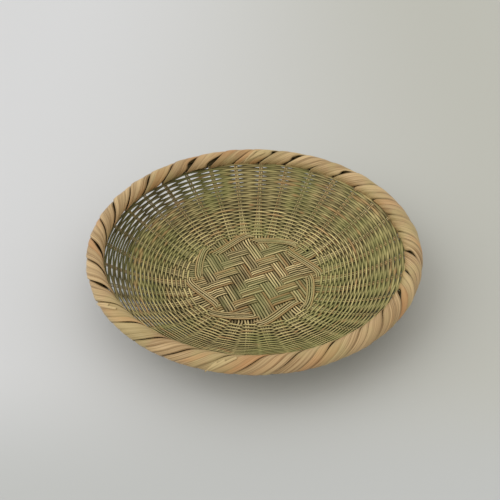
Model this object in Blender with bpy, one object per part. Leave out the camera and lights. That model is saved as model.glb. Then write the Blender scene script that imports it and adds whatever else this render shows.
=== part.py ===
"""Round bamboo draining basket: a twill floor whose bands run on up the wall as ribs,
fine wefts woven between those ribs, and a rolled rim bound with a wide strip.
Lengths are in metres, +Z is up and the basket stands on the ring round its floor."""

import math

import bpy
import numpy as np

# Bowl
RIM_RADIUS = 0.1425
RIM_DEPTH = 0.0400
FLOOR_RADIUS = 0.0585
WALL_POWER = 1.6
CLEARANCE = 0.0003
FIT_MARGIN = 0.00018

# Bands of the floor, which narrow into the ribs of the wall
BANDS_EACH_WAY = 8
BAND_PITCH = 0.0106
BAND_WIDTH = 0.0092
BAND_THICKNESS = 0.0008
RIB_FOOT_WIDTH = 0.0062
RIB_TIP_WIDTH = 0.0044
RIB_THICKNESS = 0.0011
TWILL_TURN = math.radians(25.0)
TWILL_REPEAT = 4
TWILL_OVER = 2
FAN_SHARES = (1 / 3, 2 / 3)
FAN_STEPS = 100
RIB_STATION_SHARES = (0.0, 0.12, 0.27, 0.46, 0.70)

# Two flat ties round the twill, which swing in and out and cross each other
TIE_WIDTH = 0.0056
TIE_THICKNESS = 0.0006
TIE_SWING = 0.0110
TIE_ROOM = 0.0006
TIE_PULL_SHARE = 0.5
TIE_BEND_SHARES = (0.25, 0.5, 0.75)

# Fine wefts, in two spirals that chase each other up the wall
WEFT_WIDTH = 0.00215
WEFT_THICKNESS = 0.0006
WEFT_PITCH = 0.00245
WEFT_FOOT_ROOM = 0.0010
WEFT_SPLINTS = 10
CLIMB_BAYS = 4

# Rim
ROLL_RADIUS = 0.0075
WRAP_THICKNESS = 0.0006
WRAP_SIDES = 8
WRAP_STRIPS = 4
WRAP_TOP_SHARE = 0.955
WRAP_WALL_SHARE = 0.70
WRAP_LEAN_SHARE = 0.55
WRAP_END_SHARE = 0.06
HOOP_WIDTH = 0.0055
HOOP_THICKNESS = 0.0020
RIB_END_REACH = 0.0006

RIB_COUNT = 4 * BANDS_EACH_WAY
BAY_ANGLE = math.tau / RIB_COUNT
TIE_REACH = TIE_THICKNESS / 2 + CLEARANCE + FIT_MARGIN
TIE_PAST_BAND = RIB_THICKNESS / 2 + TIE_REACH
TIE_PAST_CROSSING = BAND_THICKNESS + CLEARANCE / 2 + TIE_REACH
RIM_LIFT = TIE_PAST_CROSSING + TIE_THICKNESS / 2
WEFT_TOP_REACH = ROLL_RADIUS + CLEARANCE + WEFT_WIDTH / 2 + FIT_MARGIN


def band_offset(number):
    """How far a band of the floor lies beside the middle."""
    return (number - (BANDS_EACH_WAY - 1) / 2) * BAND_PITCH


# The ties, then the first ribs and wefts, follow outwards from the edge of the twill.
TWILL_EDGE = band_offset(BANDS_EACH_WAY) - BAND_WIDTH / 2
TIE_INNER_LINE = TWILL_EDGE + TIE_WIDTH / 2 + CLEARANCE
TIE_GAP_NUMBER = BANDS_EACH_WAY // 4
TIE_GAP_OFFSET = (BANDS_EACH_WAY / 2 - TIE_GAP_NUMBER) * BAND_PITCH
TIE_OUTER_RADIUS = math.hypot(TIE_INNER_LINE, TIE_GAP_OFFSET) + TIE_SWING
RIB_START_RADIUS = TIE_OUTER_RADIUS + TIE_WIDTH / 2 + TIE_ROOM
WEFT_START_RADIUS = RIB_START_RADIUS + WEFT_FOOT_ROOM + WEFT_WIDTH / 2

COLOURS = {
    "bamboo_floor": (0.42, 0.37, 0.20),
    "bamboo_weft": (0.33, 0.31, 0.15),
    "bamboo_tie": (0.48, 0.38, 0.22),
    "bamboo_rim": (0.60, 0.44, 0.25),
    "bamboo_hoop": (0.50, 0.40, 0.22),
}


def wall_height(radius):
    """Height of the middle of the wall over the middle of the floor."""
    share = np.clip((radius - FLOOR_RADIUS) / (RIM_RADIUS - FLOOR_RADIUS), 0, None)
    return RIM_DEPTH * share**WALL_POWER


def wall_slope(radius):
    span = RIM_RADIUS - FLOOR_RADIUS
    share = np.clip((radius - FLOOR_RADIUS) / span, 0, None)
    return WALL_POWER * RIM_DEPTH / span * share ** (WALL_POWER - 1)


RIM_TILT = math.atan(float(wall_slope(RIM_RADIUS)))
ARC_RADII = np.linspace(WEFT_START_RADIUS, RIM_RADIUS, 2000)
ARC_STEPS = np.hypot(np.diff(ARC_RADII), np.diff(wall_height(ARC_RADII)))
ARC_LENGTHS = np.concatenate([[0], np.cumsum(ARC_STEPS)])


def material(name):
    made = bpy.data.materials.new(name)
    made.use_nodes = True
    shader = made.node_tree.nodes["Principled BSDF"]
    shader.inputs["Base Color"].default_value = (*COLOURS[name], 1)
    shader.inputs["Roughness"].default_value = 0.6
    return made


def loft(name, sections, finish, closed=False):
    """A solid through a row of sections with equal corner counts, capped unless it closes."""
    sections = np.asarray(sections, float)
    count, corners = sections.shape[:2]
    index = np.arange(count * corners).reshape(count, corners)
    start = index if closed else index[:-1]
    end = np.roll(index, -1, axis=0) if closed else index[1:]
    quads = np.stack(
        [start, np.roll(start, -1, axis=1), np.roll(end, -1, axis=1), end], axis=-1
    ).reshape(-1, 4)
    faces = quads.tolist()
    if not closed:
        faces += [index[0][::-1].tolist(), index[-1].tolist()]
    mesh = bpy.data.meshes.new(name)
    points = sections.reshape(-1, 3) + np.array([0, 0, RIM_LIFT])
    mesh.from_pydata(points.tolist(), [], faces)
    mesh.validate()
    mesh.materials.append(finish)
    made = bpy.data.objects.new(name, mesh)
    bpy.context.scene.collection.objects.link(made)
    return made


def turned(points, angle):
    """Points turned about the vertical axis."""
    c, s = math.cos(angle), math.sin(angle)
    return np.asarray(points) @ np.array([[c, s, 0], [-s, c, 0], [0, 0, 1]])


def unit(vector):
    return np.asarray(vector, float) / np.linalg.norm(vector)


def flat_section(centre, across, normal, width, thickness):
    """The four corners of a strip's section, going round it."""
    half, lift = across * (width / 2), normal * (thickness / 2)
    return np.array(
        [centre - half - lift, centre + half - lift, centre + half + lift, centre - half + lift]
    )


def band_size(share):
    """Width and thickness of a band at a share of its way through the fan."""
    share = float(np.clip(share, 0, 1))
    width = BAND_WIDTH + (RIB_FOOT_WIDTH - BAND_WIDTH) * share
    return width, BAND_THICKNESS + (RIB_THICKNESS - BAND_THICKNESS) * share


def rib_width(radius):
    """Width of a rib, which narrows up the wall until the rim grips it."""
    share = (radius - RIB_START_RADIUS) / (RIM_RADIUS - ROLL_RADIUS - RIB_START_RADIUS)
    return RIB_FOOT_WIDTH + (RIB_TIP_WIDTH - RIB_FOOT_WIDTH) * min(share, 1)


def rib_turn(number):
    return (number - (BANDS_EACH_WAY - 1) / 2) * BAY_ANGLE


def bend(start, leave, end, arrive, share, pull=1):
    """Plan position and heading part way along a smooth bend from one heading to another."""
    reach = pull * np.linalg.norm(end - start)
    t = share
    place = (
        (2 * t**3 - 3 * t**2 + 1) * start
        + (t**3 - 2 * t**2 + t) * reach * leave
        + (3 * t**2 - 2 * t**3) * end
        + (t**3 - t**2) * reach * arrive
    )
    heading = (
        (6 * t**2 - 6 * t) * start
        + (3 * t**2 - 4 * t + 1) * reach * leave
        + (6 * t - 6 * t**2) * end
        + (3 * t**2 - 2 * t) * reach * arrive
    )
    return place, unit(heading)


def fan_point(number, share):
    """Plan position and heading on the smooth path from the twill's edge to the rib's line."""
    start = np.array([TWILL_EDGE, band_offset(number)])
    along = np.array([math.cos(rib_turn(number)), math.sin(rib_turn(number))])
    return bend(start, np.array([1, 0]), RIB_START_RADIUS * along, along, share)


def fan_share(number, reach, across):
    """Share of the fan at which a band crosses a line beside the twill, or else a circle."""
    shares = np.linspace(0, 1, FAN_STEPS)
    places = np.array([fan_point(number, share)[0] for share in shares])
    return float(np.interp(reach, places[:, 0] if across else np.hypot(*places.T), shares))


def surface_frame(place, heading):
    """Point, side direction and upward normal on the bowl's middle surface."""
    radius = float(np.hypot(*place))
    slope = float(wall_slope(radius))
    outward = np.array([place[0], place[1], 0]) / radius
    normal = unit(np.array([0, 0, 1]) - slope * outward)
    rise = slope * float(np.dot(outward[:2], heading))
    side = unit(np.cross(normal, [heading[0], heading[1], rise]))
    return np.array([place[0], place[1], float(wall_height(radius))]), side, normal


def band_end(number):
    """Sections of one end of a band, from the twill's edge out through the fan and up."""
    sections = []
    for share in (0.0, *FAN_SHARES):
        place, heading = fan_point(number, share)
        width, thickness = band_size(share)
        sections.append(flat_section(*surface_frame(place, heading), width, thickness))
    angle = rib_turn(number)
    heading = np.array([math.cos(angle), math.sin(angle)])
    for share in RIB_STATION_SHARES:
        radius = RIB_START_RADIUS + (RIM_RADIUS - RIB_START_RADIUS) * share
        frame = surface_frame(radius * heading, heading)
        sections.append(flat_section(*frame, rib_width(radius), RIB_THICKNESS))
    reach = RIM_RADIUS + RIB_END_REACH * math.cos(RIM_TILT)
    _, side, normal = surface_frame(RIM_RADIUS * heading, heading)
    for radius, height in (
        (RIM_RADIUS - ROLL_RADIUS, None),
        (reach, RIM_DEPTH + RIB_END_REACH * math.sin(RIM_TILT)),
    ):
        rise = float(wall_height(radius)) if height is None else height
        tip = np.array([*(radius * heading), rise])
        sections.append(flat_section(tip, side, normal, RIB_TIP_WIDTH, RIB_THICKNESS))
    return sections


def warp_band(name, number, turn, over, finish):
    """A band through the floor twill with both its ends running up the wall as ribs."""
    half = (BAND_THICKNESS + CLEARANCE) / 2
    middle = []
    levels = [half if over(other) else -half for other in range(BANDS_EACH_WAY)]
    side, normal = np.array([0, 1, 0]), np.array([0, 0, 1])
    for other, level in enumerate(levels):
        place = band_offset(other)
        before = levels[other - 1] if other else None
        after = levels[other + 1] if other + 1 < BANDS_EACH_WAY else None
        for edge, beyond in ((-BAND_WIDTH / 2, before), (BAND_WIDTH / 2, after)):
            if beyond != level:
                centre = np.array([place + edge, band_offset(number), level])
                middle.append(
                    flat_section(centre, side, normal, BAND_WIDTH, BAND_THICKNESS)
                )
    far = band_end(number)
    near = turned(band_end(BANDS_EACH_WAY - 1 - number), math.pi)
    # The near end is walked inwards, so its sections go round the other way.
    near = [section[[1, 0, 3, 2]] for section in near[::-1]]
    return loft(name, turned([*near, *middle, *far], TWILL_TURN + turn), finish)


def tie_dive(numbers, inner):
    """Places beside two neighbouring bands between which a tie dives, and its heading there."""
    crossings = []
    for number in numbers:
        share = fan_share(number, TIE_INNER_LINE if inner else TIE_OUTER_RADIUS, inner)
        crossings.append((*fan_point(number, share), band_size(share)[0]))
    run = unit(crossings[1][0] - crossings[0][0])
    places = []
    for (place, heading, band_width), side in zip(crossings, (1, -1)):
        lean = abs(run[0] * heading[1] - run[1] * heading[0])
        cover = (band_width / 2 + TIE_WIDTH / 2 * abs(float(run @ heading))) / lean
        places.append(place + side * run * cover)
    return places, run


def tie_section(place, heading, level):
    """Section of a tie at a level over or under the bowl's middle surface."""
    across = np.array([heading[1], -heading[0]]) * (TIE_WIDTH / 2)
    edges = [place + across, place - across]
    heights = [float(wall_height(np.hypot(*edge))) + level for edge in edges]
    low, high = -TIE_THICKNESS / 2, TIE_THICKNESS / 2
    order = ((0, low), (1, low), (1, high), (0, high))
    return [[*edges[i], heights[i] + rise] for i, rise in order]


def floor_tie(name, over_corners, finish):
    """A flat strip in long floats, over the corners of the twill and under its sides or the
    other way about. Each upper float swings inwards and each lower one out again."""
    sign = 1 if over_corners else -1
    corner, side = sign * TIE_PAST_CROSSING, -sign * TIE_PAST_BAND
    low, high = TIE_GAP_NUMBER, BANDS_EACH_WAY - TIE_GAP_NUMBER
    stops = []
    for quarter in range(4):
        for after, inner, levels in (
            (low, over_corners, (corner, side)),
            (high, not over_corners, (side, corner)),
        ):
            places, run = tie_dive((after - 1, after), inner)
            for place, level in zip(places, levels):
                flat = [turned([*vector, 0], quarter * math.pi / 2)[:2] for vector in (place, run)]
                stops.append((*flat, level))
    sections = []
    for number, (place, heading, level) in enumerate(stops):
        sections.append(tie_section(place, heading, level))
        if number % 2:
            end, arrive, _ = stops[(number + 1) % len(stops)]
            for share in TIE_BEND_SHARES:
                middle = bend(place, heading, end, arrive, share, TIE_PULL_SHARE)
                sections.append(tie_section(*middle, level))
    return loft(name, turned(sections, TWILL_TURN), finish, closed=True)


def weft_section(rib, length, inside):
    """Section of a weft where it passes inside or outside a rib, at a length up the wall."""
    radius = float(np.interp(length, ARC_LENGTHS, ARC_RADII))
    slope = float(wall_slope(radius))
    tilt = math.atan(slope)
    spacing = 2 * radius * math.sin(BAY_ANGLE / 2)
    sag = rib_width(radius) / 2 * math.tan(BAY_ANGLE / 2) * math.sin(tilt)
    need = (RIB_THICKNESS + WEFT_THICKNESS) / 2 + CLEARANCE + FIT_MARGIN + sag
    bow = need / (1 - rib_width(radius) / spacing) * (1 if inside else -1)
    along = np.array([-math.cos(tilt), 0, -math.sin(tilt)])
    normal = np.array([-math.sin(tilt), 0, math.cos(tilt)])
    centre = np.array([radius, 0, float(wall_height(radius))]) + normal * bow
    section = flat_section(centre, along, normal, WEFT_WIDTH, WEFT_THICKNESS)
    return turned(section, (rib + 0.5) * BAY_ANGLE + TWILL_TURN)


def weft_spiral(letter, lead, finish):
    """One of the two chasing spirals, as splints whose ends meet behind a rib."""
    last = float(np.interp(RIM_RADIUS, ARC_RADII, ARC_LENGTHS)) - WEFT_TOP_REACH
    turns = int((last / WEFT_PITCH + 1) / 2)
    row = last / (2 * turns - 1)
    # The last turn stops short of the bays where the turn below it climbs.
    each = (turns * RIB_COUNT - CLIMB_BAYS) // WEFT_SPLINTS
    for splint in range(WEFT_SPLINTS):
        sections = []
        for step in range(splint * each, (splint + 1) * each + 1):
            turn, bay = divmod(step + lead, RIB_COUNT)
            climb = max(0, bay - (RIB_COUNT - CLIMB_BAYS)) / CLIMB_BAYS
            climb = 0 if turn == turns - 1 else climb
            length = row * (2 * (turn + climb) + lead)
            sections.append(weft_section(step + lead, length, step % 2 == 1))
        for end, inner in ((0, 1), (-1, -2)):
            gap = sections[inner].mean(axis=0) - sections[end].mean(axis=0)
            sections[end] = sections[end] + unit(gap) * (CLEARANCE / 2 + FIT_MARGIN)
        loft(f"weft_{letter}_{splint + 1}", sections, finish)


def rim_section(points):
    """Points given along and across the wall's line at the rim, as points over the X axis."""
    points = np.asarray(points, float)
    c, s = math.cos(RIM_TILT), math.sin(RIM_TILT)
    x = RIM_RADIUS + points[:, 0] * c - points[:, 1] * s
    z = RIM_DEPTH + points[:, 0] * s + points[:, 1] * c
    return np.stack([x, np.zeros(len(x)), z], axis=1)


def rim_ring(name, outline, finish):
    """A ring whose corners stand between the ribs and whose flats face them."""
    section = rim_section(outline)
    corners = [
        turned(section * [1 / math.cos(BAY_ANGLE / 2), 1, 1], rib * BAY_ANGLE + TWILL_TURN)
        for rib in range(RIB_COUNT)
    ]
    return loft(name, corners, finish, closed=True)


def rim_parts(finish):
    """Two hoops that clamp the ribs, and the filler laid over their ends."""
    chord_sag = (RIM_RADIUS + ROLL_RADIUS) * (1 - math.cos(BAY_ANGLE / 2))
    radius = ROLL_RADIUS - WRAP_THICKNESS - CLEARANCE - 2 * chord_sag
    near = RIB_THICKNESS / 2 + CLEARANCE
    low, high = RIB_END_REACH - HOOP_WIDTH, RIB_END_REACH
    for name, sign in (("rim_hoop_inner", 1), ("rim_hoop_outer", -1)):
        a, b = sign * near, sign * (near + HOOP_THICKNESS)
        outline = [(low, a), (high, a), (high, b), (low, b)][::-sign]
        rim_ring(name, outline, finish)
    start = RIB_END_REACH + CLEARANCE
    half = math.sqrt(radius**2 - start**2)
    turns = [math.radians(degrees) for degrees in (55, 20, -20, -55)]
    arc = [(radius * math.cos(turn), radius * math.sin(turn)) for turn in turns]
    rim_ring("rim_filler", [(start, half), *arc, (start, -half)], finish)


def wrap_strip(name, first_turn, turns, finish):
    """A wide strip wound round the rim, once through every bay between two ribs."""
    top = math.pi / 2 - RIM_TILT
    margin = WRAP_END_SHARE * math.tau
    corner = math.tau / WRAP_SIDES
    begin = math.pi + margin
    stops = [begin]
    stops += [
        corner * (side + 0.5)
        for side in range(WRAP_SIDES * (turns + 2))
        if begin < corner * (side + 0.5) < math.pi + turns * math.tau - margin
    ]
    stops.append(math.pi + turns * math.tau - margin)
    sections = []
    for stop in stops:
        lean = WRAP_LEAN_SHARE * (math.sin(stop - top) - math.sin(math.pi - top))
        middle = BAY_ANGLE * (first_turn + (stop - math.pi + lean) / math.tau)
        swing = (WRAP_TOP_SHARE - WRAP_WALL_SHARE) / 2
        width = BAY_ANGLE * ((WRAP_TOP_SHARE + WRAP_WALL_SHARE) / 2 + swing * math.cos(stop))
        # Between two corners of the winding's outline the surface is nearer its middle.
        local = (stop % corner) - corner / 2
        outer = ROLL_RADIUS * math.cos(corner / 2) / math.cos(corner / 2 - abs(local))
        inner = outer - WRAP_THICKNESS
        ring = rim_section([(r * math.cos(stop), r * math.sin(stop)) for r in (inner, outer)])
        edges = [turned(ring, middle + side * width / 2 + TWILL_TURN) for side in (-1, 1)]
        sections.append([edges[0][0], edges[0][1], edges[1][1], edges[1][0]])
    return loft(name, sections, finish)


def main():
    for existing in list(bpy.data.objects):
        bpy.data.objects.remove(existing, do_unlink=True)
    finish = {name: material(name) for name in COLOURS}
    for number in range(BANDS_EACH_WAY):
        warp_band(
            f"band_a_{number + 1}",
            number,
            0,
            lambda other: (other - number) % TWILL_REPEAT < TWILL_OVER,
            finish["bamboo_floor"],
        )
        warp_band(
            f"band_b_{number + 1}",
            number,
            math.pi / 2,
            lambda other: (BANDS_EACH_WAY - 1 - number - other) % TWILL_REPEAT >= TWILL_OVER,
            finish["bamboo_floor"],
        )
    floor_tie("floor_tie_a", True, finish["bamboo_tie"])
    floor_tie("floor_tie_b", False, finish["bamboo_tie"])
    for lead, letter in enumerate("ab"):
        weft_spiral(letter, lead, finish["bamboo_weft"])
    rim_parts(finish["bamboo_hoop"])
    each = RIB_COUNT // WRAP_STRIPS
    for strip in range(WRAP_STRIPS):
        wrap_strip(f"rim_wrap_{strip + 1}", strip * each, each, finish["bamboo_rim"])


main()
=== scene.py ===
import logging
import math
from dataclasses import dataclass
from enum import Enum
from functools import cache, cached_property

import bpy
import numpy as np
from mathutils import Matrix, Vector
from numpy.polynomial import Polynomial


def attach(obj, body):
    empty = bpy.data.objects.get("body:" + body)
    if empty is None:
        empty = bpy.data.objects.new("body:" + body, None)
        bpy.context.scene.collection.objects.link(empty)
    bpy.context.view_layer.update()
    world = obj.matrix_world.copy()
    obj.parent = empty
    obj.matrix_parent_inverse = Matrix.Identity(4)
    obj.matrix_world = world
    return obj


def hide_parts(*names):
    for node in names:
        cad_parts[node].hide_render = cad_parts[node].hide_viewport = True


# A shallow basket woven of split bamboo: every splint of its floor, wall, ties and rim is laid
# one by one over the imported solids. Lengths are in metres and angles in radians.
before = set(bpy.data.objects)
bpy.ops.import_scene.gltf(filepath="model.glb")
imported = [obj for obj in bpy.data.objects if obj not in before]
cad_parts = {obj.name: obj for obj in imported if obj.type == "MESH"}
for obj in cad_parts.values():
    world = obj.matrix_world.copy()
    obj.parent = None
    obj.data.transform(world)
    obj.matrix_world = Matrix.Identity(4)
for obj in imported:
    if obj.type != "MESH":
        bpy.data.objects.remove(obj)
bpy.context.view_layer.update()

Array = np.ndarray
Colour = tuple[float, float, float]
Span = tuple[float, float]
Draws = np.random.Generator
log = logging.getLogger("basket")

# Range from which the phase of a wave is drawn, and the cubics that weigh the start, the
# tangent there, the end and the tangent there of a bend
PHASES: Span = (0.0, 6.0)
CUBICS = [Polynomial(row) for row in ((1, 0, -3, 2), (0, 1, -2, 1), (0, 0, 3, -2), (0, 0, -1, 1))]


class Slot(Enum):
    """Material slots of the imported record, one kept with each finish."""

    FLOOR = "bamboo_floor"
    WEFT = "bamboo_weft"
    TIE = "bamboo_tie"
    RIM = "bamboo_rim"
    HOOP = "bamboo_hoop"


def unit(vectors: Array) -> Array:
    """Scale vectors to length one."""
    return vectors / np.linalg.norm(vectors, axis=-1, keepdims=True)


def polar(radius: Array | float, angle: Array | float, *height: Array) -> Array:
    """Points by distance and angle: the distance times cosine and sine, and any height."""
    return np.stack([radius * np.cos(angle), radius * np.sin(angle), *height], axis=-1)


def left(plan: Array) -> Array:
    """Plan vectors turned a quarter anticlockwise: minus y, and x."""
    return np.stack([-plan[..., 1], plan[..., 0]], axis=-1)


def turned(plan: Array, angle: float) -> Array:
    """Plan points turned anticlockwise: cosine times the point and sine times its left."""
    return plan * math.cos(angle) + left(plan) * math.sin(angle)


def eased(share: Array) -> Array:
    """Smooth step: three times the square less twice the cube of a share held to 0..1."""
    held = np.clip(share, 0, 1)
    return held * held * (3 - 2 * held)


def beside(number: float, count: int) -> float:
    """Place of one in a row of some, counted from the middle of the row."""
    return number - (count - 1) / 2


def wave(run: Array, count: float, rng: Draws) -> Array:
    """Sine of a run times a count, at a random phase."""
    return np.sin(run * count + rng.uniform(*PHASES))


def bend(
    start: Array, leave: Array, end: Array, arrive: Array, share: Array, pull: float = 1
) -> tuple[Array, Array]:
    """Plan path from one place and heading to another.

    The four cubics of the share, whose tangents are as long as the chord times the pull.

    Args:
        start: Place it starts from.
        leave: Heading there.
        end: Place it ends at.
        arrive: Heading there.
        share: Shares of the way.
        pull: Length of the tangents in chords.

    Returns:
        Places and headings, one row for each share.
    """
    reach = pull * np.linalg.norm(end - start)
    knots = (start, reach * leave, end, reach * arrive)
    place = sum(cubic(share[:, None]) * knot for cubic, knot in zip(CUBICS, knots))
    heading = sum(cubic.deriv()(share[:, None]) * knot for cubic, knot in zip(CUBICS, knots))
    return place, unit(heading)


def shown(name: str, data: bpy.types.ID) -> bpy.types.Object:
    """Make an object of some data and put it in the scene."""
    bpy.context.scene.collection.objects.link(bpy.data.objects.new(name, data))
    return bpy.data.objects[name]


@dataclass(frozen=True)
class Ramp:
    """A smooth rise from 0 to 1 that starts at a value and takes a length."""

    start: float
    length: float

    def at(self, value: Array) -> Array:
        """Eased share of the length that the value has passed."""
        return eased((value - self.start) / self.length)


@dataclass(frozen=True)
class Side:
    """A side on which something is strongest, and how sharply it fades round from there."""

    angle: float
    gain: float
    less: float

    def at(self, angle: Array) -> Array:
        """Eased cosine of the angle from the side, times the gain, less a number."""
        return eased(self.gain * np.cos(angle - self.angle) - self.less)


@dataclass(frozen=True)
class Skin:
    """Vertices, four-cornered faces, grain coordinates and a tone for each vertex."""

    points: Array
    faces: Array
    grain: Array
    tone: Array

    @staticmethod
    def tube(sections: Array, grain: Array, tone: Array, closed: bool = False) -> "Skin":
        """Skin over a row of sections, each an even number of points round an outline.

        Args:
            sections: Points, stations by outline points by three.
            grain: Length along and width across at each point, stations by points by two.
            tone: Tone, hue and painted shade of each point, stations by points by three.
            closed: Whether the last section joins the first.

        Returns:
            The closed skin, with its ends filled by ladders of faces unless it is a ring.
        """
        rows, around = sections.shape[:2]
        index = np.arange(rows * around).reshape(rows, around)
        ahead = np.roll(index, -1, axis=0)
        aside = np.roll(index, -1, axis=1)
        across = np.roll(ahead, -1, axis=1)
        faces = np.stack([index, ahead, across, aside], axis=-1)
        faces = faces[: None if closed else -1].reshape(-1, 4)
        if not closed:
            rung = np.arange(around // 2 - 1)
            ladder = np.stack([rung, rung + 1, around - 2 - rung, around - 1 - rung], axis=1)
            faces = np.concatenate([faces, ladder, ladder[:, ::-1] + (rows - 1) * around])
        return Skin(sections.reshape(-1, 3), faces, grain.reshape(-1, 2), tone.reshape(-1, 3))

    @staticmethod
    def joined(skins: "list[Skin]") -> "Skin":
        """Put several skins into one.

        Args:
            skins: The skins.

        Returns:
            One skin, in which the faces of each count on from the points before it.
        """
        starts = np.cumsum([0] + [len(skin.points) for skin in skins[:-1]])
        parts = [(s.points, s.faces + start, s.grain, s.tone) for s, start in zip(skins, starts)]
        return Skin(*map(np.concatenate, zip(*parts)))


@dataclass(frozen=True)
class Splint:
    """A split of bamboo: a flat section with a crowned skin, carried along a path."""

    width: float
    thickness: float

    GRAIN_START = 10.0
    OUTLINE = np.array(
        [(-1, -0.4), (-0.8, -1), (0.8, -1), (1, -0.4), (1, 0.2), (0.6, 0.9), (-0.6, 0.9), (-1, 0.2)]
    )

    def skin(
        self, path: Array, normal: Array, tone: Array, sunk: Array, widths: Array | float = 1.0,
        roll: Array | float = 0.0, painted_shade: Array | float = 0.0, closed: bool = False,
    ) -> Skin:
        """Carry the section along a path.

        The side is the path's heading crossed with the normal. Each outline point lies its
        share of half the width along the side and of half the thickness along the normal,
        both times the share of the full size.

        Args:
            path: Centre of the section at each station.
            normal: Direction that the splint's skin faces.
            tone: Tone, hue and a start for the grain, of the splint or of each station.
            sunk: How far its skin lies under its neighbours, from 1 to -1 where its back
            does. Its product with an outline point's rise is that point's depth, the share of
            painted shade.
            widths: Share of the full width and thickness.
            roll: Angle by which the section leans.
            painted_shade: Least painted shade, all round the section.
            closed: Whether the path is a ring.

        Returns:
            The splint's skin. Its grain is in metres, as if it were of the full width.
        """
        if closed:
            heading = unit(np.roll(path, -1, axis=0) - np.roll(path, 1, axis=0))
        else:
            heading = unit(np.gradient(path, axis=0))
        side = unit(np.cross(heading, normal))
        up = np.cross(side, heading)
        lean = np.broadcast_to(roll, len(path))[:, None]
        side, up = (
            side * np.cos(lean) + up * np.sin(lean),
            up * np.cos(lean) - side * np.sin(lean),
        )
        half = np.broadcast_to(widths, len(path))[:, None] * self.width / 2
        across = self.OUTLINE[:, 0] * half
        rise = self.OUTLINE[:, 1] * half * self.thickness / self.width
        sections = path[:, None] + side[:, None] * across[..., None] + up[:, None] * rise[..., None]
        steps = np.linalg.norm(np.diff(path, axis=0), axis=1)
        tone = np.broadcast_to(tone, (len(path), 3))
        along = np.concatenate([[0], np.cumsum(steps)]) + self.GRAIN_START * tone[0, 2]
        wide = self.OUTLINE[:, 0] * self.width / 2
        grain = np.stack(np.broadcast_arrays(along[:, None], wide), axis=-1)
        painted_shade = np.broadcast_to(painted_shade, len(path))[:, None]
        # Depth is painted shade: the share by which the finish darkens a point towards its shade
        # colour.
        depth = np.clip(np.maximum(sunk[:, None] * self.OUTLINE[:, 1], painted_shade), 0, 1)
        marks = np.stack(np.broadcast_arrays(tone[:, :1], tone[:, 1:2], depth), axis=-1)
        return Skin.tube(sections, grain, marks, closed)


class Wire:
    """A node's socket that takes part in sums, each of which adds its Math node."""

    def __init__(self, shader: "Shader", socket: bpy.types.NodeSocket) -> None:
        """Keep the shader and the socket."""
        self.shader, self.socket = shader, socket

    def _sum(self, operation: str, *terms: "Wire | float") -> "Wire":
        """Add the Math node of one operation."""
        return self.shader.node("Math", {"operation": operation}, dict(enumerate(terms)))

    def __add__(self, other: "Wire | float") -> "Wire":
        """Sum of two values."""
        return self._sum("ADD", self, other)

    def __mul__(self, other: "Wire | float") -> "Wire":
        """Product of two values."""
        return self._sum("MULTIPLY", self, other)

    __radd__, __rmul__ = __add__, __mul__

    def __sub__(self, other: "Wire | float") -> "Wire":
        """First value less the second."""
        return self._sum("SUBTRACT", self, other)

    def __rsub__(self, other: float) -> "Wire":
        """A number less this value."""
        return self._sum("SUBTRACT", other, self)

    def __abs__(self) -> "Wire":
        """Value without its sign."""
        return self._sum("ABSOLUTE", self)

    def held(self, low: float, high: float) -> "Wire":
        """Value stretched so that low to high becomes 0 to 1, and held there, smoothly."""
        limits = {0: self, 1: low, 2: high, 3: 0.0, 4: 1.0}
        return self.shader.node("MapRange", {"interpolation_type": "SMOOTHSTEP"}, limits)


class Shader:
    """A new material whose nodes come from one method."""

    def __init__(self, name: str) -> None:
        """Start a material with nothing in it.

        Args:
            name: Name of the material.
        """
        self.material = bpy.data.materials.new(name)
        self.material.use_nodes = True
        self.tree = self.material.node_tree
        self.tree.nodes.clear()

    def node(
        self, kind: str, settings: dict[str, object] | None = None,
        sockets: dict[int | str, object] | None = None, out: int | str = 0,
    ) -> Wire:
        """Add a node.

        Args:
            kind: Type of the node, without the words that all of them begin with.
            settings: Properties, set before its sockets.
            sockets: Values or wires of its inputs, by place or name.
            out: Output that is wanted.

        Returns:
            The wanted output, or the node's first input where it has no outputs.
        """
        node = self.tree.nodes.new("ShaderNode" + kind)
        for name, value in (settings or {}).items():
            setattr(node, name, value)
        for key, value in (sockets or {}).items():
            if isinstance(value, Wire):
                self.tree.links.new(value.socket, node.inputs[key])
            else:
                node.inputs[key].default_value = value
        return Wire(self, node.outputs[out] if len(node.outputs) else node.inputs[0])

    def blend(self, share: Wire | float, *ends: Wire | Colour) -> Wire:
        """Mix two colours or wires, of which the share is how much of the second is taken."""
        first, second = (end if isinstance(end, Wire) else (*end, 1.0) for end in ends)
        return self.node("Mix", {"data_type": "RGBA"}, {0: share, 6: first, 7: second}, 2)

    def parts(self, vector: Wire) -> list[Wire]:
        """Split a vector into its three numbers."""
        split = self.node("SeparateXYZ", None, {0: vector}).socket.node
        return [Wire(self, output) for output in split.outputs]

    def noise(self, vector: Wire, scale: float, detail: float = 2.0) -> Wire:
        """Soft noise of a coordinate, round one half."""
        sockets = {"Vector": vector, "Scale": scale, "Detail": detail}
        return self.node("TexNoise", None, sockets)

    def place(self) -> Wire:
        """Object coordinates."""
        return self.node("TexCoord", None, None, "Object")

    def surface(self, **sockets: Wire | float) -> None:
        """End with the main surface.

        Args:
            **sockets: Values or wires of its inputs, named with underlines for spaces.
        """
        named = {name.replace("_", " "): value for name, value in sockets.items()}
        made = self.node("BsdfPrincipled", None, named)
        self.node("OutputMaterial", None, {0: made})


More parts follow.
